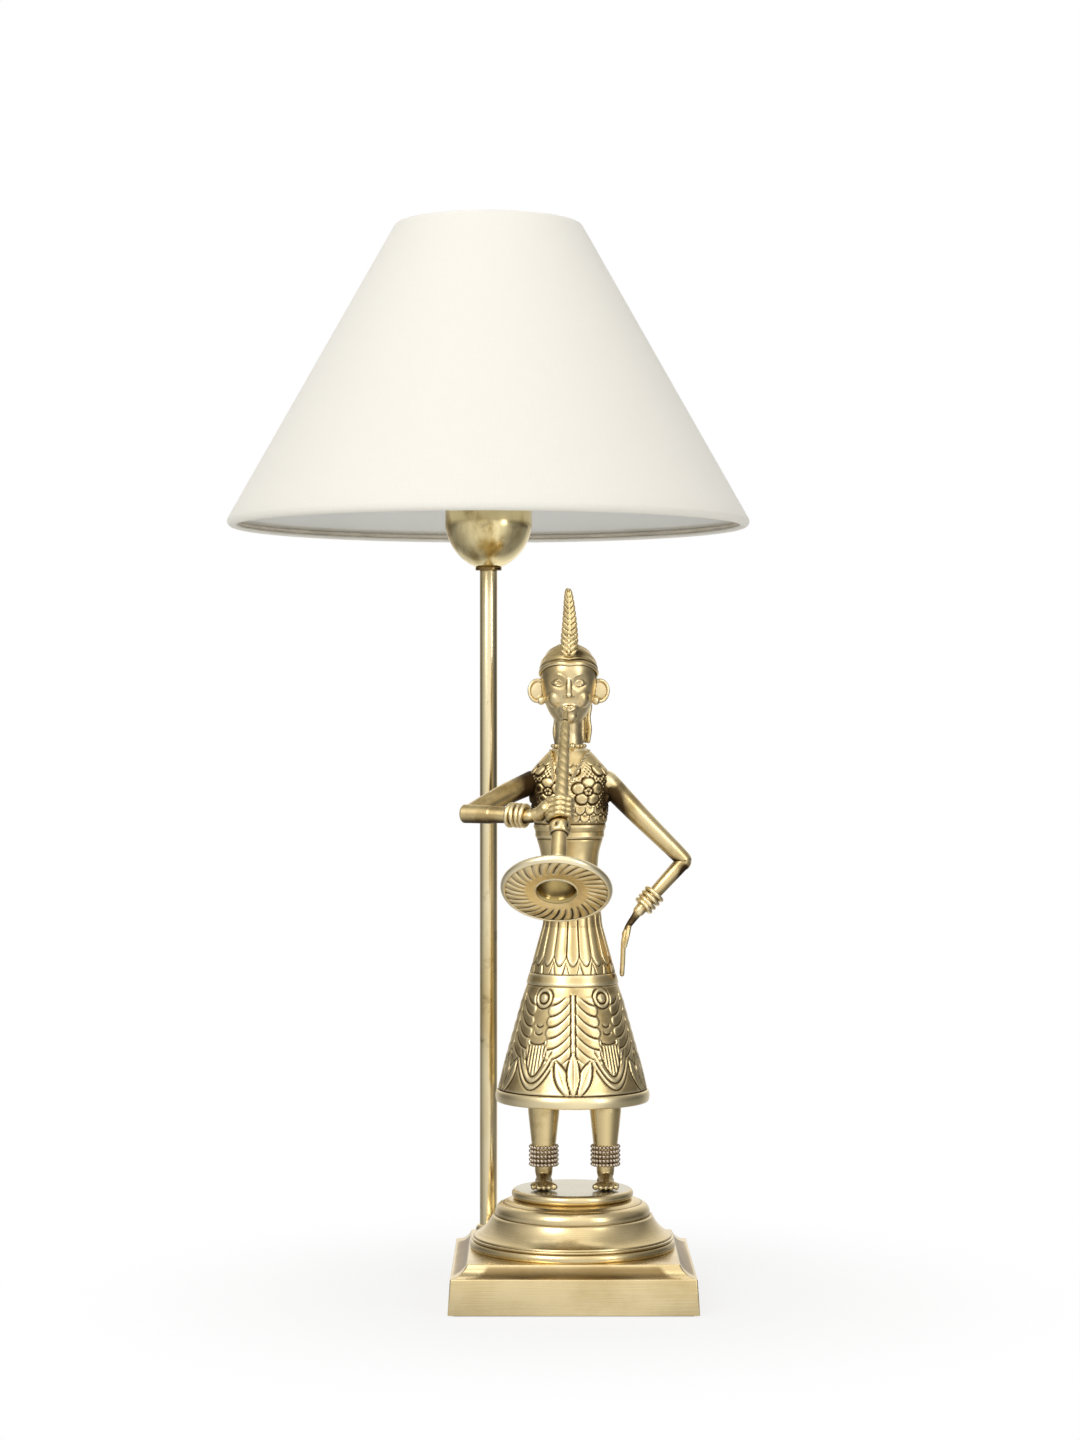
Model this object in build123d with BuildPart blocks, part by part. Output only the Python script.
from build123d import *

import os
from math import cos, radians, sin, sqrt

# Brass table lamp: a standing musician on a square base, with a pole behind that carries a conical shade.
# Millimetres, +X right, +Y to the back, +Z up, origin in the middle of the base, on the table.

# Fits
fit_gap = 0.05            # around turned pieces that are screwed, soldered or pressed together
lay_gap = 0.1             # between pieces that lie side by side in one assembly
run_gap = 0.4             # around the lampholder barrel, on which the shade and its ring turn

# Base
base_height = 22.4        # table to the flat top
base_wall_top = 16.8      # table to the top edge of the walls
base_draft = 1.1          # lean of each wall
base_wall = 2.0
shoulder_width = 7.6      # wall edge to the flat top, seen from above
shoulder_sag = 1.4        # hollow of the shoulder below its chord
foot_reveal = 0.6         # gap between the brass edge and the table
felt_thickness = 1.6
cover_thickness = 2.0
cover_gap = 0.5           # around the cover and the felt, inside the walls
post_radius = 4.0
post_inset = 5.5          # posts from the edges of the flat top
cover_screw_radius = 1.5
cover_screw_head = 2.8
cover_screw_length = 10.0

# Round plinth, from the top down
plinth_radius = 48.2
plinth_height = 27.6
plinth_margin = 0.3       # flat top left around the plinth
plinth_wall = 2.2
disc_radius = 26.6
bead_radius = 28.6
bead_depth = 4.6
cove_radius = 32.4
cove_depth = 1.9
torus_radius = 36.2
torus_depth = 5.8
ovolo_radius = 46.6
ovolo_inner = 37.6
ovolo_depth = 9.6
ovolo_swell = 1.2
ring_depth = 1.6
ring_radius = 47.5
groove = 0.5

# Cord entry in the rear wall
gland_x = 22.0
gland_z = 9.6
gland_bore_radius = 3.4
gland_sleeve_radius = 5.0
gland_flange_radius = 6.4
gland_flange = 1.4
gland_tail = 5.0          # sleeve behind the wall's outer face

# Terminal block
block_length = 18.0
block_width = 12.0
block_height = 10.0
block_corner = 1.0
block_reach = 22.0        # pole axis to the block's near face
block_screw_radius = 1.5
block_screw_depth = 4.0
block_screw_pitch = 9.0

# Pole and its fixings
pole_radius = 4.25
pole_bore_radius = 3.0
pole_inset = 8.3          # pole axis from the edges of the flat top
pole_rise = 321.8         # flat top to the seat of the cup
pole_tail = 3.0           # pole below its nut
foot_collar_radius = 6.2
foot_collar_height = 4.0
pole_washer_radius = 6.6
pole_washer_thickness = 1.0
pole_nut_flats = 12.0
pole_nut_height = 5.0
cup_collar_radius = 6.35
cup_collar_thickness = 1.7

# Leads
lead_radius = 1.1
lead_pitch = 2.5
lead_bend = 5.0
lead_turn = 1.6           # bends above the pole
lead_z = 6.0
lead_spread = 8.0         # lampholder axis to each contact screw

# Cup and lampholder
cup_radius = 21.0
cup_bowl_depth = 25.0
cup_rim = 4.0
cup_wall = 1.2
cup_nut_flats = 10.4
cup_nut_height = 3.5
cap_height = 23.0
cap_radius = 17.0
cap_foot_radius = 9.0
cap_boss = 7.0            # length of the threaded boss on the pole
cap_wall = 2.0
core_thickness = 8.0
contact_screw_radius = 1.5
contact_head_radius = 2.6
contact_head = 2.0
contact_width = 4.0
contact_strip = 0.6
contact_rise = 5.4
contact_reach = 4.0
barrel_radius = 19.6
barrel_height = 32.0
barrel_neck = 2.3         # barrel below its flange
flange_radius = 23.5
flange_thickness = 3.0
shell_radius = 13.6       # inside of the screw shell
shell_wall = 0.6
shell_height = 26.0

# Shade ring, which clamps the shade
clamp_height = 8.0
clamp_radius = 27.5
clamp_rib_radius = 1.2
clamp_ribs = 24

# Shade
shade_bottom_radius = 126.0
shade_top_radius = 46.1
shade_height = 146.7
shade_drop = 14.0         # bottom edge of the shade below its fitter ring
fabric = 0.8
lining = 0.5
wire_radius = 1.2
hem_gap = 0.6             # between a wire and the fabric round it
hem_hook = 150.0          # angle at which the hem ends, inside the wire
fitter_margin = 1.5       # fitter ring outside the shade ring
fitter_thickness = 2.0
arm_count = 3
arm_radius = 1.2
arm_knee = 11.0           # bend of an arm, inside the bottom wire
arm_bend = 6.0

# Bulb
bulb_length = 105.0
bulb_radius = 30.0
bulb_neck_radius = 12.8
bulb_neck = 5.0
bulb_shoulder = 38.0      # angle below the middle of the ball at which the neck curve meets it
glass_wall = 0.8
tip_radius = 4.6
tip_height = 1.5
insulator_height = 3.4
insulator_foot = 5.6
insulator_radius = 11.6
thread_radius = 13.2
thread_root = 12.4
thread_pitch = 3.63
thread_turns = 4
bulb_cap_height = 20.6
bulb_cap_wall = 0.5
stem_radius = 2.6
stem_height = 22.0
stem_foot = 1.5
filament_radius = 0.9
filament_length = 34.0
filament_count = 4
filament_circle = 8.0
filament_wire = 0.5

# Musician: legs
stance_x = 1.0            # middle of the feet
leg_spacing = 29.0
foot_length = 20.0
foot_width = 13.0
foot_height = 4.4
heel_width = 9.0
heel_back = 6.5           # heel behind the leg's axis
toe_count = 5
toe_radius = 1.6
toe_curve = 0.7           # how far the row of toes bends back at its ends
toe_seam = 45.0           # turn of each toe's seam, off the line of the foot
ankle_radius = 4.2
ankle_height = 9.0
calf_radius = 5.75
calf_height = 20.5
knee_radius = 7.4
knee_height = 36.0
anklet_count = 3
anklet_height = 10.4      # plinth to the lowest edge of the anklets
anklet_wire = 1.72
anklet_radius = 7.3
figure_screw_radius = 2.0
figure_screw_head = 3.6
figure_screw_head_height = 2.6
figure_screw_grip = 9.0   # length inside the leg
figure_washer_radius = 6.0
figure_washer_thickness = 1.0

# Musician: skirt and torso
skirt_lift = 41.0         # plinth to the hem
skirt_height = 96.0
skirt_wall = 1.6
hem_radius = 35.8
hem_height = 5.7
belt_height = 55.3        # hem to the belt's lower edge
belt_radius = 21.4
belt_width = 5.2
belt_raise = 0.5
hip_radius = 13.7
hip_height = 83.0
waist_radius = 12.9
plate_height = 24.0       # hem to the plate inside the skirt
plate_thickness = 3.0
torso_x = -1.3
torso_height = 70.0
torso_sections = (        # share of the torso's height, half width, half depth
    (0.00, 12.9, 11.4),
    (0.27, 13.5, 11.0),
    (0.44, 16.4, 11.8),
    (0.70, 18.8, 13.0),
    (0.82, 18.9, 12.4),
    (0.94, 12.4, 9.6),
    (1.00, 8.0, 7.6),
)

# Musician: head
head_x = -1.8
neck_height = 12.0
neck_radius = 7.0
head_height = 36.0        # chin to crown
head_sections = (         # share of the head's height, half width, half depth
    (0.00, 5.6, 6.2),
    (0.14, 8.8, 9.4),
    (0.32, 11.2, 12.0),
    (0.54, 12.4, 13.4),
    (0.74, 12.2, 13.2),
    (0.92, 8.2, 9.4),
    (1.00, 3.6, 4.2),
)
scarf_thickness = 1.0
scarf_lift = 22.0         # chin to the scarf's edge above the ears
scarf_tilt = 22.0         # the edge rises to the front
ear_width = 9.0
ear_height = 11.5
ear_thickness = 3.0
ear_reach = 19.8          # head's middle to the tip of an ear
ear_lift = 15.0           # chin to the middle of an ear
nose_height = 8.0
nose_width = 4.4
nose_lift = 9.6
hair_width = 18.0
hair_depth = 9.0
hair_height = 30.0
plume_height = 27.0
plume_width = 8.4
plume_thickness = 3.4
plume_y = -10.5
plume_sections = (        # share of the plume's height, share of its width
    (0.00, 0.9),
    (0.30, 1.0),
    (0.62, 0.8),
    (0.86, 0.5),
    (1.00, 0.2),
)
brooch_width = 8.4
brooch_height = 12.5
brooch_thickness = 2.6
necklace_wire = 0.9
bead_ball = 1.7

# Musician: horn
mouth_lift = 6.0          # chin to the mouthpiece
mouth_side = -1.4
mouth_y = -13.0
horn_tilt = 53.0          # below the horizontal
horn_turn = 2.7           # towards -X
reed_radius = 1.3
reed_length = 7.0
pipe_top_radius = 2.1
pipe_end_radius = 4.0
pipe_length = 86.0
knob_start = 64.5
knob_length = 6.6
knob_radius = 5.3
bell_length = 16.6        # end of the pipe to the face of the bell
bell_radius = 25.15
bell_rim = 2.0            # radius of the rounded rim
bell_throat = 9.15
bowl_depth = 8.4
cord_wire = 0.9
cord_tip_wire = 0.8
cord_station = 41.0       # mouthpiece to where the carrying cords meet the pipe
cord_spread = 17.6        # between the cords at the chest
cord_y = -4.6             # where the cords leave the chest
cord_drop = 1.0           # the same, below the throat

# Musician: arms, from the middle of the torso's top
shoulder_drop = 16.0
shoulder_half = 17.5
shoulder_radius = 5.8
playing_elbow = (-47.4, -30.0, -30.0)
playing_elbow_radius = 4.4
playing_wrist = (-18.0, -45.5, -30.6)
playing_wrist_radius = 3.4
resting_elbow = (53.6, 2.0, -53.0)
resting_elbow_radius = 3.9
resting_wrist = (32.6, -2.0, -76.5)
resting_wrist_radius = 2.9
bangle_count = 4
bangle_wire = 1.1
bangle_pitch = 2.4
bangle_offset = 3.4       # wrist to the first bangle
grip_station = 57.6       # mouthpiece to the middle of the grip
finger_count = 4
finger_radius = 1.55
finger_press = 0.3        # depth of the fingers' flats against the pipe
finger_pitch = 2.9
palm_radius = 4.6
palm_root = 2.8
resting_palm = (28.6, -3.0, -81.8)
resting_palm_radius = 2.6
resting_fingers = (25.2, -3.6, -88.0)
resting_finger_radius = 1.5
resting_tip_radius = 1.2

# Stations up the lamp
flat_half = plinth_radius + plinth_margin
wall_top_half = flat_half + shoulder_width
foot_half = wall_top_half + base_draft
cover_top = felt_thickness + cover_thickness
roof = base_height - base_wall
plinth_top = base_height + plinth_height
pole_x = -(flat_half - pole_inset)
pole_y = flat_half - pole_inset
cup_seat = base_height + pole_rise
cup_floor = cup_seat + cup_wall
holder_foot = cup_floor + cup_nut_height
holder_top = holder_foot + cap_height
core_bottom = holder_top - core_thickness
pole_top = holder_foot + cap_boss
pole_foot = roof - pole_washer_thickness - pole_nut_height - pole_tail
fitter_z = holder_top + barrel_neck + flange_thickness
clamp_z = fitter_z + fitter_thickness
fitter_radius = clamp_radius + fitter_margin
shade_bottom = fitter_z - shade_drop
shade_top = shade_bottom + shade_height
bulb_tip = holder_top + contact_rise + fit_gap
bulb_seat = bulb_tip + tip_height + insulator_height
glass_foot = bulb_seat + bulb_cap_height
bulb_top = bulb_tip + bulb_length
skirt_z = plinth_top + skirt_lift
waist_z = skirt_z + skirt_height
throat_z = waist_z + torso_height
chin_z = throat_z + neck_height

pole_axis = Axis((pole_x, pole_y, 0), (0, 0, 1))
pole_profile = Plane(origin=(pole_x, pole_y, 0), x_dir=(1, 0, 0), z_dir=(0, -1, 0))
pole_bore = pole_radius + fit_gap
upward = (Align.CENTER, Align.CENTER, Align.MIN)
downward = (Align.CENTER, Align.CENTER, Align.MAX)

os.makedirs("parts", exist_ok=True)


def save(piece, name):
    piece.part.label = name
    export_step(piece.part, f"parts/{name}.step")


def turned(plane, axis, outline, mode=Mode.ADD):
    """Adds a closed outline of (radius, height) points to the part in hand, turned about the axis."""
    with BuildSketch(plane) as profile:
        with BuildLine():
            Polyline(*outline, close=True)
        make_face()
    revolve(profile.sketch, axis=axis, mode=mode)


def limb(*stations):
    """Adds a round limb to the part in hand: a ball at each (point, radius), with cones between them."""
    for (start, start_radius), (end, end_radius) in zip(stations, stations[1:]):
        span = Vector(*end) - Vector(*start)
        with Locations(Plane(origin=start, z_dir=span)):
            Cone(start_radius, end_radius, span.length, align=upward)
    for point, radius in stations:
        with Locations(point):
            Sphere(radius)


def ellipse_loft(centre, sections):
    """Adds a loft through (height, half width, half depth) ellipses around an upright line."""
    faces = []
    for height, half_width, half_depth in sections:
        with BuildSketch(Plane(origin=(centre[0], centre[1], height))) as section:
            Ellipse(half_width, half_depth)
        faces.append(section.sketch)
    loft(faces)


# Base shell: one profile across the width and the same one across the depth
def wall_half(height):
    return foot_half - base_draft * (height - foot_reveal) / (base_wall_top - foot_reveal)


def base_profile(plane, foot, inset):
    with BuildSketch(plane) as profile:
        with BuildLine():
            Polyline((0, base_height), (0, foot), (wall_half(foot), foot), (wall_top_half, base_wall_top))
            SagittaArc((wall_top_half, base_wall_top), (flat_half, base_height), shoulder_sag)
            Line((flat_half, base_height), (0, base_height))
        make_face()
        mirror(about=Plane.YZ)
        if inset:
            offset(amount=-inset, kind=Kind.INTERSECTION)
    return profile.sketch


def base_block(foot, inset):
    extrude(base_profile(Plane.XZ, foot, inset), amount=2 * foot_half, both=True)
    extrude(base_profile(Plane.YZ, foot, inset), amount=2 * foot_half, both=True, mode=Mode.INTERSECT)


post_half = flat_half - post_inset
post_spots = [(-post_half, -post_half), (post_half, -post_half), (post_half, post_half)]
leg_spots = [stance_x - leg_spacing / 2, stance_x + leg_spacing / 2]

with BuildPart() as base_cavity:
    base_block(foot_reveal - 2 * base_wall, base_wall)

with BuildPart() as base_shell:
    base_block(foot_reveal, 0)
    add(base_cavity.part, mode=Mode.SUBTRACT)
    with Locations(*[(x, y, cover_top) for x, y in post_spots]):
        Cylinder(post_radius, roof - cover_top + base_wall / 2, align=upward)
        Cylinder(cover_screw_radius + fit_gap, cover_screw_length, align=upward, mode=Mode.SUBTRACT)
    with Locations((pole_x, pole_y, roof)):
        Cylinder(pole_bore, base_wall, align=upward, mode=Mode.SUBTRACT)
    with Locations(*[(x, 0, roof) for x in leg_spots]):
        Cylinder(figure_screw_radius + lay_gap, base_wall, align=upward, mode=Mode.SUBTRACT)
    with Locations(Plane(origin=(gland_x, foot_half, gland_z), z_dir=(0, 1, 0))):
        Cylinder(gland_sleeve_radius + fit_gap, 3 * base_wall, mode=Mode.SUBTRACT)
save(base_shell, "base_shell")

cover_half = wall_half(cover_top) - base_wall - cover_gap
cover_screw_sink = cover_screw_head - cover_screw_radius

with BuildPart() as felt_pad:
    with BuildSketch(Plane.XY):
        Rectangle(2 * cover_half, 2 * cover_half)
    extrude(amount=felt_thickness)
save(felt_pad, "felt_pad")

with BuildPart() as bottom_cover:
    with BuildSketch(Plane.XY.offset(felt_thickness)):
        Rectangle(2 * cover_half, 2 * cover_half)
    extrude(amount=cover_thickness)
    for x, y in post_spots:
        with Locations((x, y, felt_thickness)):
            Cylinder(cover_screw_radius + fit_gap, cover_thickness, align=upward, mode=Mode.SUBTRACT)
            Cone(cover_screw_head + fit_gap, cover_screw_radius + fit_gap, cover_screw_sink, align=upward,
                 mode=Mode.SUBTRACT)
save(bottom_cover, "bottom_cover")

with BuildPart() as cover_screws:
    with Locations(*[(x, y, felt_thickness) for x, y in post_spots]):
        Cone(cover_screw_head, cover_screw_radius, cover_screw_sink, align=upward)
        Cylinder(cover_screw_radius, cover_screw_length, align=upward)
save(cover_screws, "cover_screws")

# Cord bushing, square to the back of the lamp
gland_plane = Plane(origin=(gland_x, foot_half, gland_z), x_dir=(1, 0, 0), z_dir=(0, 1, 0))

with BuildPart() as cord_bushing:
    with Locations(gland_plane):
        Cylinder(gland_flange_radius, gland_flange, align=upward)
        Cylinder(gland_sleeve_radius, gland_tail, align=downward)
        Cylinder(gland_bore_radius, 2 * (gland_tail + gland_flange), mode=Mode.SUBTRACT)
save(cord_bushing, "cord_bushing")

# Terminal block on the cover, its clamp screws let into the top
block_left = pole_x + block_reach
block_middle = (block_left + block_length / 2, pole_y)
block_top = cover_top + block_height

with BuildPart() as block_screws:
    with Locations((block_middle[0], block_middle[1], block_top)):
        with GridLocations(block_screw_pitch, 2 * lead_pitch, 2, 2):
            Cylinder(block_screw_radius, block_screw_depth, align=downward)
save(block_screws, "block_screws")

with BuildPart() as terminal_block:
    with Locations((block_middle[0], block_middle[1], cover_top)):
        Box(block_length, block_width, block_height, align=upward)
    fillet(terminal_block.edges().filter_by(Axis.Z), radius=block_corner)
    add(block_screws.part, mode=Mode.SUBTRACT)
save(terminal_block, "terminal_block")

# Round plinth
plinth_plane = Plane(origin=(0, 0, base_height), x_dir=(1, 0, 0), z_dir=(0, -1, 0))
bead_low = plinth_height - bead_depth
torus_high = bead_low - cove_depth
torus_low = torus_high - torus_depth
ovolo_low = torus_low - ovolo_depth
ring_low = ovolo_low - ring_depth

with BuildPart() as round_plinth:
    with BuildSketch(plinth_plane) as plinth_profile:
        with BuildLine():
            Polyline((0, 0), (0, plinth_height), (disc_radius, plinth_height))
            ThreePointArc((disc_radius, plinth_height), (bead_radius, (plinth_height + bead_low) / 2),
                          (disc_radius, bead_low))
            Line((disc_radius, bead_low), (disc_radius + groove, bead_low))
            SagittaArc((disc_radius + groove, bead_low), (cove_radius, torus_high), groove)
            ThreePointArc((cove_radius, torus_high), (torus_radius - groove, torus_high - torus_depth / 3),
                          (torus_radius, torus_low))
            Line((torus_radius, torus_low), (ovolo_inner, torus_low))
            SagittaArc((ovolo_inner, torus_low), (ovolo_radius, ovolo_low), -ovolo_swell)
            Polyline((ovolo_radius, ovolo_low), (ovolo_radius - groove, ovolo_low - groove),
                     (ring_radius, ovolo_low - groove))
            SagittaArc((ring_radius, ovolo_low - groove), (ring_radius, ring_low), -groove / 2)
            Polyline((ring_radius, ring_low), (ring_radius - groove, ring_low),
                     (ring_radius - groove, ring_low - groove), (plinth_radius, ring_low - groove),
                     (plinth_radius, 0), (0, 0))
        make_face()
    revolve(axis=Axis.Z)
    turned(plinth_plane, Axis.Z, [
        (0, 0), (plinth_radius - 2 * plinth_wall, 0),
        (ovolo_radius - 2 * plinth_wall, ovolo_low - plinth_wall),
        (ovolo_inner - 2 * plinth_wall, torus_low - plinth_wall),
        (disc_radius - plinth_wall, bead_low - plinth_wall),
        (disc_radius - plinth_wall, plinth_height - plinth_wall), (0, plinth_height - plinth_wall),
    ], mode=Mode.SUBTRACT)
    with Locations(*[(x, 0, plinth_top - plinth_wall) for x in leg_spots]):
        Cylinder(figure_screw_radius + lay_gap, plinth_wall, align=upward, mode=Mode.SUBTRACT)
save(round_plinth, "round_plinth")

with BuildPart() as figure_washers:
    with Locations(*[(x, 0, roof) for x in leg_spots]):
        Cylinder(figure_washer_radius, figure_washer_thickness, align=downward)
        Cylinder(figure_screw_radius + fit_gap, figure_washer_thickness, align=downward, mode=Mode.SUBTRACT)
save(figure_washers, "figure_washers")

screw_seat = roof - figure_washer_thickness

with BuildPart() as figure_screws:
    with Locations(*[(x, 0, screw_seat) for x in leg_spots]):
        Cylinder(figure_screw_head, figure_screw_head_height, align=downward)
        Cylinder(figure_screw_radius, plinth_top + figure_screw_grip - screw_seat, align=upward)
save(figure_screws, "figure_screws")

# Pole with its collars, washer and nut
with BuildPart() as pole:
    with Locations((pole_x, pole_y, pole_foot)):
        Cylinder(pole_radius, pole_top - pole_foot, align=upward)
        Cylinder(pole_bore_radius, pole_top - pole_foot, align=upward, mode=Mode.SUBTRACT)
save(pole, "pole")

with BuildPart() as pole_foot_collar:
    with Locations((pole_x, pole_y, base_height)):
        Cylinder(foot_collar_radius, foot_collar_height, align=upward)
    collar_rim = pole_foot_collar.edges().filter_by(GeomType.CIRCLE).group_by(Axis.Z)[-1]
    fillet(collar_rim, radius=foot_collar_height / 3)
    with Locations((pole_x, pole_y, base_height)):
        Cylinder(pole_bore, foot_collar_height, align=upward, mode=Mode.SUBTRACT)
save(pole_foot_collar, "pole_foot_collar")

with BuildPart() as pole_washer:
    with Locations((pole_x, pole_y, roof)):
        Cylinder(pole_washer_radius, pole_washer_thickness, align=downward)
        Cylinder(pole_bore, pole_washer_thickness, align=downward, mode=Mode.SUBTRACT)
save(pole_washer, "pole_washer")


def hex_nut(foot, height, flats):
    with BuildSketch(Plane(origin=(pole_x, pole_y, foot))) as outline:
        RegularPolygon(flats / 2, 6, major_radius=False)
        Circle(pole_bore, mode=Mode.SUBTRACT)
    extrude(outline.sketch, amount=height)


with BuildPart() as pole_nut:
    hex_nut(roof - pole_washer_thickness - pole_nut_height, pole_nut_height, pole_nut_flats)
save(pole_nut, "pole_nut")

with BuildPart() as cup_collar:
    with Locations((pole_x, pole_y, cup_seat)):
        Cylinder(cup_collar_radius, cup_collar_thickness, align=downward)
        Cylinder(pole_bore, cup_collar_thickness, align=downward, mode=Mode.SUBTRACT)
save(cup_collar, "cup_collar")

with BuildPart() as cup_nut:
    hex_nut(cup_floor, cup_nut_height, cup_nut_flats)
save(cup_nut, "cup_nut")

# Two leads, side by side: out of the block, up the pole and apart to the contact screws
contact_head_z = core_bottom - contact_head
lead_split = contact_head_z - lead_turn - lay_gap

with BuildPart() as leads:
    for side in (-1, 1):
        lane = pole_y + side * lead_pitch / 2
        landing = pole_y + side * lead_spread
        with BuildLine() as route:
            FilletPolyline((block_left, lane, lead_z), (pole_x, lane, lead_z), (pole_x, lane, cup_seat),
                           radius=lead_bend)
            FilletPolyline((pole_x, lane, cup_seat), (pole_x, lane, lead_split),
                           (pole_x, landing, lead_split), (pole_x, landing, contact_head_z),
                           radius=lead_turn)
        with BuildSketch(Plane(origin=(block_left, lane, lead_z), z_dir=(-1, 0, 0))) as section:
            Circle(lead_radius)
        sweep(section.sketch, path=route.wires()[0])
save(leads, "leads")

# Socket cup: deeper than a half ball, with a flat seat and a straight rim
seat_dip = cup_bowl_depth * (1 - sqrt(1 - (cup_collar_radius / cup_radius) ** 2))
bowl_rim = cup_seat - seat_dip + cup_bowl_depth


def bowl_middle(inset):
    return ((cup_radius - inset) * sqrt(0.5), bowl_rim - (cup_bowl_depth - inset) * sqrt(0.5))


with BuildPart() as socket_cup:
    with BuildSketch(pole_profile):
        with BuildLine():
            Polyline((cup_collar_radius, cup_floor), (pole_bore, cup_floor), (pole_bore, cup_seat),
                     (cup_collar_radius, cup_seat))
            ThreePointArc((cup_collar_radius, cup_seat), bowl_middle(0), (cup_radius, bowl_rim))
            Polyline((cup_radius, bowl_rim), (cup_radius, bowl_rim + cup_rim),
                     (cup_radius - cup_wall, bowl_rim + cup_rim), (cup_radius - cup_wall, bowl_rim))
            ThreePointArc((cup_radius - cup_wall, bowl_rim), bowl_middle(cup_wall),
                          (cup_collar_radius, cup_floor))
        make_face()
    revolve(axis=pole_axis)
save(socket_cup, "socket_cup")

# Lampholder
core_radius = cap_radius - cap_wall
ledge = cap_radius - 2 * cap_wall
cap_swell = holder_foot + cap_height - core_thickness - cap_wall
cap_waist = holder_foot + (cap_swell - holder_foot) / 2
cap_waist_radius = (cap_foot_radius + cap_radius) / 2 + cap_wall / 2

with BuildPart() as lampholder_cap:
    turned(pole_profile, pole_axis, [
        (pole_bore, holder_foot), (cap_foot_radius, holder_foot), (cap_waist_radius, cap_waist),
        (cap_radius, cap_swell), (cap_radius, holder_top), (core_radius, holder_top),
        (core_radius, core_bottom), (ledge, core_bottom), (ledge, cap_swell - cap_wall),
        (ledge - cap_wall, pole_top), (pole_bore, pole_top),
    ])
save(lampholder_cap, "lampholder_cap")

contact_spots = [(pole_x, pole_y - lead_spread), (pole_x, pole_y + lead_spread)]

with BuildPart() as contact_screws:
    with Locations(*[(x, y, core_bottom) for x, y in contact_spots]):
        Cylinder(contact_head_radius, contact_head, align=downward)
        Cylinder(contact_screw_radius, core_thickness, align=upward)
save(contact_screws, "contact_screws")

with BuildPart() as lampholder_core:
    with Locations((pole_x, pole_y, core_bottom)):
        Cylinder(core_radius - fit_gap, core_thickness, align=upward)
    with Locations(*[(x, y, core_bottom) for x, y in contact_spots]):
        Cylinder(contact_screw_radius + fit_gap, core_thickness, align=upward, mode=Mode.SUBTRACT)
save(lampholder_core, "lampholder_core")

contact_end = lead_spread + contact_screw_radius

with BuildPart() as centre_contact:
    with BuildSketch(Plane(origin=(pole_x, pole_y, holder_top), x_dir=(0, 1, 0), z_dir=(1, 0, 0))):
        with BuildLine():
            Polyline((contact_end, 0), (-contact_reach, 0), (-contact_reach, contact_rise),
                     (contact_reach, contact_rise), (contact_reach, contact_rise - contact_strip),
                     (contact_strip - contact_reach, contact_rise - contact_strip),
                     (contact_strip - contact_reach, contact_strip), (contact_end, contact_strip), close=True)
        make_face()
    extrude(amount=contact_width / 2, both=True)
save(centre_contact, "centre_contact")

shell_outer = shell_radius + shell_wall

with BuildPart() as screw_shell:
    with Locations((pole_x, pole_y, holder_top)):
        Cylinder(shell_outer, shell_height, align=upward)
        Cylinder(shell_radius, shell_height, align=upward, mode=Mode.SUBTRACT)
save(screw_shell, "screw_shell")

with BuildPart() as lampholder_barrel:
    with Locations((pole_x, pole_y, holder_top)):
        Cylinder(cap_radius, barrel_neck, align=upward)
    with Locations((pole_x, pole_y, holder_top + barrel_neck)):
        Cylinder(flange_radius, flange_thickness, align=upward)
    with Locations((pole_x, pole_y, fitter_z)):
        Cylinder(barrel_radius, barrel_height - barrel_neck - flange_thickness, align=upward)
    with Locations((pole_x, pole_y, holder_top)):
        Cylinder(shell_outer + fit_gap, barrel_height, align=upward, mode=Mode.SUBTRACT)
save(lampholder_barrel, "lampholder_barrel")

with BuildPart() as shade_ring:
    with Locations((pole_x, pole_y, clamp_z)):
        Cylinder(clamp_radius - clamp_rib_radius, clamp_height, align=upward)
        with PolarLocations(clamp_radius - clamp_rib_radius, clamp_ribs):
            Cylinder(clamp_rib_radius, clamp_height, align=upward)
        Cylinder(barrel_radius + run_gap, clamp_height, align=upward, mode=Mode.SUBTRACT)
save(shade_ring, "shade_ring")

# Shade: the fabric hooks round a wire at each edge
hem_inner = wire_radius + hem_gap
hem_outer = hem_inner + fabric
wire_low = Vector(shade_bottom_radius - hem_outer, shade_bottom + hem_outer)
wire_high = Vector(shade_top_radius - hem_outer, shade_top - hem_outer)
slope = (wire_high - wire_low).normalized()
outward = Vector(slope.Y, -slope.X)


def hem_point(centre, radius, angle):
    return centre + Vector(radius * cos(radians(angle)), radius * sin(radians(angle)))


with BuildPart() as shade_cover:
    with BuildSketch(pole_profile):
        with BuildLine():
            Line(wire_low + outward * hem_outer, wire_high + outward * hem_outer)
            ThreePointArc(wire_high + outward * hem_outer, hem_point(wire_high, hem_outer, 90),
                          hem_point(wire_high, hem_outer, hem_hook))
            Line(hem_point(wire_high, hem_outer, hem_hook), hem_point(wire_high, hem_inner, hem_hook))
            ThreePointArc(hem_point(wire_high, hem_inner, hem_hook), hem_point(wire_high, hem_inner, 90),
                          wire_high + outward * hem_inner)
            Line(wire_high + outward * hem_inner, wire_low + outward * hem_inner)
            ThreePointArc(wire_low + outward * hem_inner, hem_point(wire_low, hem_inner, -90),
                          hem_point(wire_low, hem_inner, -hem_hook))
            Line(hem_point(wire_low, hem_inner, -hem_hook), hem_point(wire_low, hem_outer, -hem_hook))
            ThreePointArc(hem_point(wire_low, hem_outer, -hem_hook), hem_point(wire_low, hem_outer, -90),
                          wire_low + outward * hem_outer)
        make_face()
    revolve(axis=pole_axis)
save(shade_cover, "shade_cover")

lining_outer = outward * (hem_inner - fit_gap)
lining_inner = outward * (hem_inner - fit_gap - lining)
lining_end = slope * (hem_outer + lay_gap)

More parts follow.
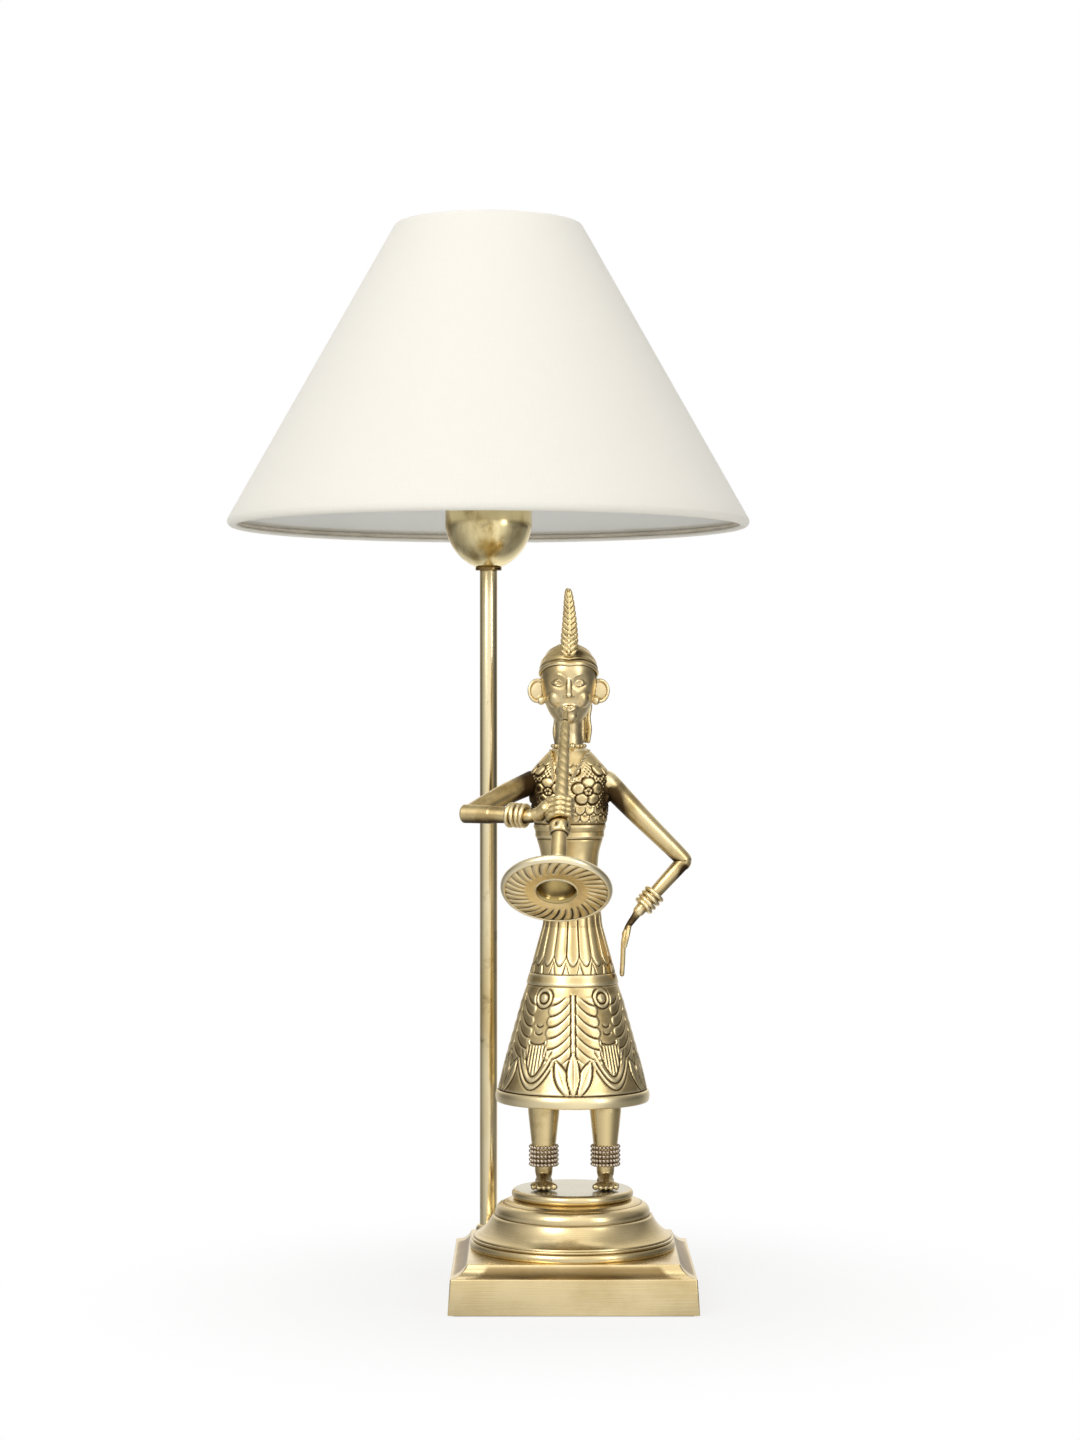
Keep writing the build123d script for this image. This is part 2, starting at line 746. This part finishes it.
with BuildPart() as shade_lining:
    turned(pole_profile, pole_axis, [
        wire_low + lining_end + lining_outer, wire_high - lining_end + lining_outer,
        wire_high - lining_end + lining_inner, wire_low + lining_end + lining_inner,
    ])
save(shade_lining, "shade_lining")

with BuildPart() as shade_top_ring:
    with Locations((pole_x, pole_y, wire_high.Y)):
        Torus(wire_high.X, wire_radius)
save(shade_top_ring, "shade_top_ring")

with BuildPart() as shade_bottom_ring:
    with Locations((pole_x, pole_y, wire_low.Y)):
        Torus(wire_low.X, wire_radius)
save(shade_bottom_ring, "shade_bottom_ring")

with BuildPart() as fitter_ring:
    with Locations((pole_x, pole_y, fitter_z)):
        Cylinder(fitter_radius, fitter_thickness, align=upward)
        Cylinder(barrel_radius + run_gap, fitter_thickness, align=upward, mode=Mode.SUBTRACT)
save(fitter_ring, "fitter_ring")

arm_z = fitter_z + fitter_thickness / 2

with BuildPart() as carrier_arms:
    for number in range(arm_count):
        heading = 90 + number * 360 / arm_count
        along = Vector(cos(radians(heading)), sin(radians(heading)), 0)
        root = Vector(pole_x, pole_y, arm_z) + along * (fitter_radius - arm_radius)
        knee = Vector(pole_x, pole_y, arm_z) + along * (wire_low.X - arm_knee)
        end = Vector(pole_x, pole_y, wire_low.Y) + along * wire_low.X
        with BuildLine() as route:
            FilletPolyline(root, knee, end, radius=arm_bend)
        with BuildSketch(Plane(origin=root, z_dir=along)) as section:
            Circle(arm_radius)
        sweep(section.sketch, path=route.wires()[0])
    add(fitter_ring.part, mode=Mode.SUBTRACT)
    add(shade_bottom_ring.part, mode=Mode.SUBTRACT)
    with Locations((pole_x, pole_y, wire_low.Y)):
        Torus(wire_low.X, wire_radius - fit_gap, mode=Mode.SUBTRACT)
save(carrier_arms, "carrier_arms")

# Bulb
ball_z = bulb_top - bulb_radius


def bulb_outline(shrink, foot):
    """The glass outline, turned about the lampholder's axis, at this distance inside its outer face."""
    ball = bulb_radius - shrink
    neck = bulb_neck_radius - shrink
    meet = (ball * cos(radians(bulb_shoulder)), ball_z - ball * sin(radians(bulb_shoulder)))
    with BuildSketch(pole_profile) as profile:
        with BuildLine():
            Polyline((0, ball_z + ball), (0, foot), (neck, foot), (neck, glass_foot + bulb_neck))
            TangentArc((neck, glass_foot + bulb_neck), meet, tangent=(0, 1))
            ThreePointArc(meet, (ball, ball_z), (0, ball_z + ball))
        make_face()
    return profile.sketch


with BuildPart() as bulb_glass:
    revolve(bulb_outline(0, glass_foot), axis=pole_axis)
    revolve(bulb_outline(glass_wall, glass_foot - glass_wall), axis=pole_axis, mode=Mode.SUBTRACT)
save(bulb_glass, "bulb_glass")

stem_base = bulb_neck_radius - glass_wall - lay_gap
stem_top = glass_foot + stem_height

with BuildPart() as bulb_stem:
    turned(pole_profile, pole_axis, [
        (0, glass_foot), (stem_base, glass_foot), (stem_base, glass_foot + stem_foot),
        (stem_radius, glass_foot + stem_height / 2), (stem_radius, stem_top), (0, stem_top),
    ])
save(bulb_stem, "bulb_stem")

with BuildPart() as bulb_filaments:
    with Locations((pole_x, pole_y, stem_top)):
        Cylinder(filament_wire, filament_length, align=upward)
        with PolarLocations(filament_circle, filament_count):
            Cylinder(filament_radius, filament_length, align=upward)
    for level in (stem_top + filament_wire, stem_top + filament_length - filament_wire):
        with Locations((pole_x, pole_y, level)):
            for number in range(filament_count // 2):
                turn = number * 360 / filament_count
                Box(2 * filament_circle, 2 * filament_wire, 2 * filament_wire, rotation=(0, 0, turn))
save(bulb_filaments, "bulb_filaments")

with BuildPart() as bulb_cap:
    thread_foot = bulb_seat + thread_pitch / 2
    with BuildSketch(pole_profile):
        with BuildLine():
            Line((thread_root, bulb_seat), (thread_root, thread_foot))
            for turn in range(thread_turns):
                low = thread_foot + turn * thread_pitch
                ThreePointArc((thread_root, low), (thread_radius, low + thread_pitch / 2),
                              (thread_root, low + thread_pitch))
            Polyline((thread_root, thread_foot + thread_turns * thread_pitch), (thread_root, glass_foot),
                     (thread_root - bulb_cap_wall, glass_foot), (thread_root - bulb_cap_wall, bulb_seat),
                     (thread_root, bulb_seat))
        make_face()
    revolve(axis=pole_axis)
save(bulb_cap, "bulb_cap")

with BuildPart() as bulb_insulator:
    with Locations((pole_x, pole_y, bulb_tip + tip_height)):
        Cone(insulator_foot, insulator_radius, insulator_height, align=upward)
    with Locations((pole_x, pole_y, bulb_seat)):
        Cylinder(thread_root - bulb_cap_wall - fit_gap, thread_pitch / 2, align=upward)
save(bulb_insulator, "bulb_insulator")

with BuildPart() as bulb_contact:
    with Locations((pole_x, pole_y, bulb_tip)):
        Cylinder(tip_radius, tip_height, align=upward)
    fillet(bulb_contact.edges().group_by(Axis.Z)[0], radius=tip_height / 2)
save(bulb_contact, "bulb_contact")

# Skirt: a hollow cone with a hem ring below and a belt, closed at the waist
belt_top = belt_height + belt_width
cone_foot = hem_height
cone_rate = (hem_radius - belt_radius) / (belt_height - cone_foot)
skirt_plane = Plane(origin=(0, 0, skirt_z), x_dir=(1, 0, 0), z_dir=(0, -1, 0))
belt_upper = belt_radius - belt_width * cone_rate

with BuildPart() as skirt:
    turned(skirt_plane, Axis.Z, [
        (hem_radius - skirt_wall, 0), (hem_radius, 0), (hem_radius + belt_raise, hem_height / 2),
        (hem_radius, hem_height), (hem_radius - belt_raise, cone_foot), (belt_radius, belt_height),
        (belt_radius + belt_raise, belt_height), (belt_upper + belt_raise, belt_top), (belt_upper, belt_top),
        (hip_radius, hip_height), (waist_radius, skirt_height), (0, skirt_height),
        (0, skirt_height - skirt_wall), (waist_radius - skirt_wall, skirt_height - skirt_wall),
        (hip_radius - skirt_wall, hip_height),
        (belt_radius - skirt_wall, belt_height), (hem_radius - skirt_wall, cone_foot),
    ])
save(skirt, "skirt")


def skirt_inside(height):
    return hem_radius - skirt_wall - (height - cone_foot) * cone_rate


with BuildPart() as skirt_plate:
    turned(skirt_plane, Axis.Z, [
        (0, plate_height), (skirt_inside(plate_height) - fit_gap, plate_height),
        (skirt_inside(plate_height + plate_thickness) - fit_gap, plate_height + plate_thickness),
        (0, plate_height + plate_thickness),
    ])
save(skirt_plate, "skirt_plate")


# Legs, each with a foot, five toes and a screw hole from below
def leg(x):
    axis_plane = Plane(origin=(x, 0, plinth_top), x_dir=(1, 0, 0), z_dir=(0, -1, 0))
    leg_top = skirt_lift + plate_height
    ball_y = heel_back + foot_width / 2 - foot_length
    turned(axis_plane, Axis((x, 0, 0), (0, 0, 1)), [
        (0, 0), (ankle_radius, 0), (ankle_radius, ankle_height), (calf_radius, calf_height),
        (knee_radius, knee_height), (knee_radius, leg_top), (0, leg_top),
    ])
    with BuildSketch(Plane(origin=(x, 0, plinth_top))) as sole:
        with Locations((0, heel_back - heel_width / 2)):
            Circle(heel_width / 2)
        with Locations((0, ball_y + toe_radius)):
            Circle(foot_width / 2 - toe_radius)
        make_hull()
    extrude(sole.sketch, amount=foot_height)
    toe_row = foot_width / 2 - toe_radius
    for number in range(toe_count):
        share = 2 * number / (toe_count - 1) - 1
        toe_y = ball_y + toe_radius - toe_row * sqrt(1 - toe_curve * share ** 2)
        with Locations((x + share * toe_row, toe_y, plinth_top + toe_radius + lay_gap)):
            Sphere(toe_radius, rotation=(0, 0, toe_seam))
    with Locations((x, 0, plinth_top)):
        Cylinder(figure_screw_radius + fit_gap, figure_screw_grip, align=upward, mode=Mode.SUBTRACT)


with BuildPart() as right_leg:
    leg(leg_spots[0])
save(right_leg, "right_leg")

with BuildPart() as left_leg:
    leg(leg_spots[1])
save(left_leg, "left_leg")


def anklets(x, leg_part):
    pitch = 2 * anklet_wire + fit_gap
    for number in range(anklet_count):
        with Locations((x, 0, plinth_top + anklet_height + anklet_wire + number * pitch)):
            Torus(anklet_radius - anklet_wire, anklet_wire)
    add(leg_part, mode=Mode.SUBTRACT)


with BuildPart() as right_anklets:
    anklets(leg_spots[0], right_leg.part)
save(right_anklets, "right_anklets")

with BuildPart() as left_anklets:
    anklets(leg_spots[1], left_leg.part)
save(left_anklets, "left_anklets")

# Torso and head
with BuildPart() as torso:
    ellipse_loft((torso_x, 0), [(waist_z + share * torso_height, w, d) for share, w, d in torso_sections])
save(torso, "torso")

scarf_plane = Plane(origin=(head_x, 0, chin_z + scarf_lift), x_dir=(1, 0, 0),
                    z_dir=(0, sin(radians(scarf_tilt)), cos(radians(scarf_tilt))))

with BuildPart() as head:
    ellipse_loft((head_x, 0), [(chin_z + share * head_height, w, d) for share, w, d in head_sections])
    for side in (-1, 1):
        with BuildSketch(Plane.XZ) as ear:
            with Locations((head_x + side * (ear_reach - ear_width / 2), chin_z + ear_lift)):
                Ellipse(ear_width / 2, ear_height / 2)
        extrude(ear.sketch, amount=ear_thickness / 2, both=True)
    nose_y = -head_sections[2][2]
    with Locations(Plane(origin=(head_x, nose_y, chin_z + nose_lift), z_dir=(0, 0, 1))):
        Cone(nose_width / 2, nose_width / 6, nose_height, align=upward)
    split(bisect_by=scarf_plane, keep=Keep.BOTTOM)
    with Locations((head_x, 0, throat_z)):
        Cylinder(neck_radius, neck_height + head_sections[1][1], align=upward)
save(head, "head")

with BuildPart() as head_scarf:
    ellipse_loft((head_x, 0), [(chin_z + share * head_height + scarf_thickness * share, w + scarf_thickness,
                               d + scarf_thickness) for share, w, d in head_sections])
    split(bisect_by=scarf_plane, keep=Keep.TOP)
save(head_scarf, "head_scarf")

hair_y = neck_radius - hair_depth / 4
hair_foot = throat_z + 2 * necklace_wire + lay_gap

with BuildPart() as hair:
    with BuildSketch(Plane(origin=(head_x + neck_radius / 4, hair_y, hair_foot))):
        Ellipse(hair_width / 2, hair_depth / 2)
    extrude(amount=hair_height)
    split(bisect_by=scarf_plane, keep=Keep.BOTTOM)
    add(head.part, mode=Mode.SUBTRACT)
save(hair, "hair")

crown_z = chin_z + head_height

with BuildPart() as plume:
    plume_foot = crown_z - 2 * plume_thickness
    plume_rise = plume_height + 2 * plume_thickness
    ellipse_loft((head_x, plume_y), [
        (plume_foot + share * plume_rise, width * plume_width / 2, width * plume_thickness / 2)
        for share, width in plume_sections
    ])
    add(head_scarf.part, mode=Mode.SUBTRACT)
    add(head.part, mode=Mode.SUBTRACT)
save(plume, "plume")

brooch_y = plume_y - plume_thickness / 2

with BuildPart() as plume_brooch:
    brooch_front = (head_x, brooch_y - brooch_thickness, crown_z)
    with BuildSketch(Plane(origin=brooch_front, x_dir=(1, 0, 0), z_dir=(0, -1, 0))):
        with BuildLine():
            ThreePointArc((0, -brooch_height / 2), (brooch_width / 2, 0), (0, brooch_height / 2))
            ThreePointArc((0, brooch_height / 2), (-brooch_width / 2, 0), (0, -brooch_height / 2))
        make_face()
    extrude(amount=-brooch_thickness)
    add(plume.part, mode=Mode.SUBTRACT)
    add(head_scarf.part, mode=Mode.SUBTRACT)
    add(head.part, mode=Mode.SUBTRACT)
save(plume_brooch, "plume_brooch")

# Horn, turned about its own axis from the mouthpiece
mouth = Vector(head_x + mouth_side, mouth_y, chin_z + mouth_lift)
horn_way = Vector(-sin(radians(horn_turn)), -cos(radians(horn_tilt)), -sin(radians(horn_tilt))).normalized()
horn_axis = Axis(mouth, horn_way)
horn_plane = Plane(origin=mouth, z_dir=horn_way)
horn_profile = Plane(origin=mouth, x_dir=horn_plane.x_dir, z_dir=-horn_plane.y_dir)
knob_end = knob_start + knob_length


def pipe_radius(station):
    return pipe_top_radius + (pipe_end_radius - pipe_top_radius) * station / pipe_length


with BuildPart() as horn_pipe:
    turned(horn_profile, horn_axis, [
        (0, 0), (reed_radius, 0), (reed_radius, reed_length),
        (pipe_radius(reed_length), reed_length + reed_radius), (pipe_radius(knob_start), knob_start),
        (knob_radius, knob_start + groove), (knob_radius, knob_end - groove),
        (pipe_radius(knob_end), knob_end), (pipe_end_radius, pipe_length), (0, pipe_length),
    ])
    add(head.part, mode=Mode.SUBTRACT)
save(horn_pipe, "horn_pipe")

bell_face = pipe_length + bell_length
bell_back = bell_face - 2 * bell_rim
bowl_ball = (bell_throat ** 2 + bowl_depth ** 2) / (2 * bowl_depth)

with BuildPart() as horn_bell:
    with BuildSketch(horn_profile):
        with BuildLine():
            Polyline((0, bell_face - bowl_depth), (0, pipe_length), (pipe_end_radius, pipe_length))
            TangentArc((pipe_end_radius, pipe_length), (bell_throat + 2 * bell_rim, bell_back - bell_rim),
                       tangent=(0, 1))
            Line((bell_throat + 2 * bell_rim, bell_back - bell_rim), (bell_radius - bell_rim, bell_back))
            ThreePointArc((bell_radius - bell_rim, bell_back), (bell_radius, bell_face - bell_rim),
                          (bell_radius - bell_rim, bell_face))
            Line((bell_radius - bell_rim, bell_face), (bell_throat, bell_face))
            RadiusArc((bell_throat, bell_face), (0, bell_face - bowl_depth), bowl_ball)
        make_face()
    revolve(axis=horn_axis)
save(horn_bell, "horn_bell")

cord_meet = mouth + horn_way * cord_station

with BuildPart() as horn_cords:
    for side in (-1, 1):
        chest = Vector(torso_x + side * cord_spread / 2, cord_y, throat_z - cord_drop)
        beside = Vector(side * (pipe_radius(cord_station) + cord_wire + lay_gap), 0, 0)
        run = cord_meet + beside - chest
        with Locations(Plane(origin=chest, z_dir=run)):
            Cone(cord_wire, cord_tip_wire, run.length, align=upward)
save(horn_cords, "horn_cords")

necklace_radius = neck_radius + necklace_wire + fit_gap
necklace_z = throat_z + necklace_wire + fit_gap

with BuildPart() as necklace:
    with Locations((head_x, 0, necklace_z)):
        Torus(necklace_radius, necklace_wire)
    with Locations((head_x + bead_ball, -necklace_radius - necklace_wire, necklace_z)):
        Sphere(bead_ball)
save(necklace, "necklace")


# Arms, from points given from the middle of the torso's top
def from_throat(point):
    return (torso_x + point[0], point[1], throat_z + point[2])


def bangles(elbow, elbow_radius, wrist, wrist_radius):
    """Rings round a forearm, counted from the wrist towards the elbow."""
    wrist = Vector(*from_throat(wrist))
    back = Vector(*from_throat(elbow)) - wrist
    for number in range(bangle_count):
        distance = bangle_offset + number * bangle_pitch
        radius = wrist_radius + (elbow_radius - wrist_radius) * distance / back.length
        with Locations(Plane(origin=wrist + back.normalized() * distance, z_dir=back)):
            Torus(radius + bangle_wire + lay_gap, bangle_wire)


with BuildPart() as right_arm:
    limb((from_throat((-shoulder_half, 0, -shoulder_drop)), shoulder_radius),
         (from_throat(playing_elbow), playing_elbow_radius),
         (from_throat(playing_wrist), playing_wrist_radius))
    add(torso.part, mode=Mode.SUBTRACT)
save(right_arm, "right_arm")

with BuildPart() as left_arm:
    limb((from_throat((shoulder_half, 0, -shoulder_drop)), shoulder_radius),
         (from_throat(resting_elbow), resting_elbow_radius),
         (from_throat(resting_wrist), resting_wrist_radius))
    add(torso.part, mode=Mode.SUBTRACT)
save(left_arm, "left_arm")

with BuildPart() as right_bangles:
    bangles(playing_elbow, playing_elbow_radius, playing_wrist, playing_wrist_radius)
save(right_bangles, "right_bangles")

with BuildPart() as left_bangles:
    bangles(resting_elbow, resting_elbow_radius, resting_wrist, resting_wrist_radius)
save(left_bangles, "left_bangles")

# The playing hand wraps four fingers round the pipe, the resting hand hangs to the belt
with BuildPart() as right_hand:
    grip = mouth + horn_way * grip_station
    limb((from_throat(playing_wrist), palm_root), (tuple(grip), palm_radius))
    with BuildSketch(horn_profile):
        for number in range(finger_count):
            station = grip_station + (number - (finger_count - 1) / 2) * finger_pitch
            with Locations((pipe_radius(station) + finger_radius - finger_press, station)):
                Circle(finger_radius)
    revolve(axis=horn_axis)
    add(horn_pipe.part, mode=Mode.SUBTRACT)
    add(right_arm.part, mode=Mode.SUBTRACT)
save(right_hand, "right_hand")

with BuildPart() as left_hand:
    belt_z = skirt_z + belt_height + belt_width / 2
    tip = (belt_radius + belt_raise + resting_tip_radius / 2, resting_fingers[1], belt_z)
    limb((from_throat(resting_wrist), palm_root), (from_throat(resting_palm), resting_palm_radius),
         (from_throat(resting_fingers), resting_finger_radius), (tip, resting_tip_radius))
    add(left_arm.part, mode=Mode.SUBTRACT)
    add(left_bangles.part, mode=Mode.SUBTRACT)
    add(skirt.part, mode=Mode.SUBTRACT)
save(left_hand, "left_hand")

print("overall height", round(shade_top, 2), "shade", 2 * shade_bottom_radius, "base", 2 * foot_half)
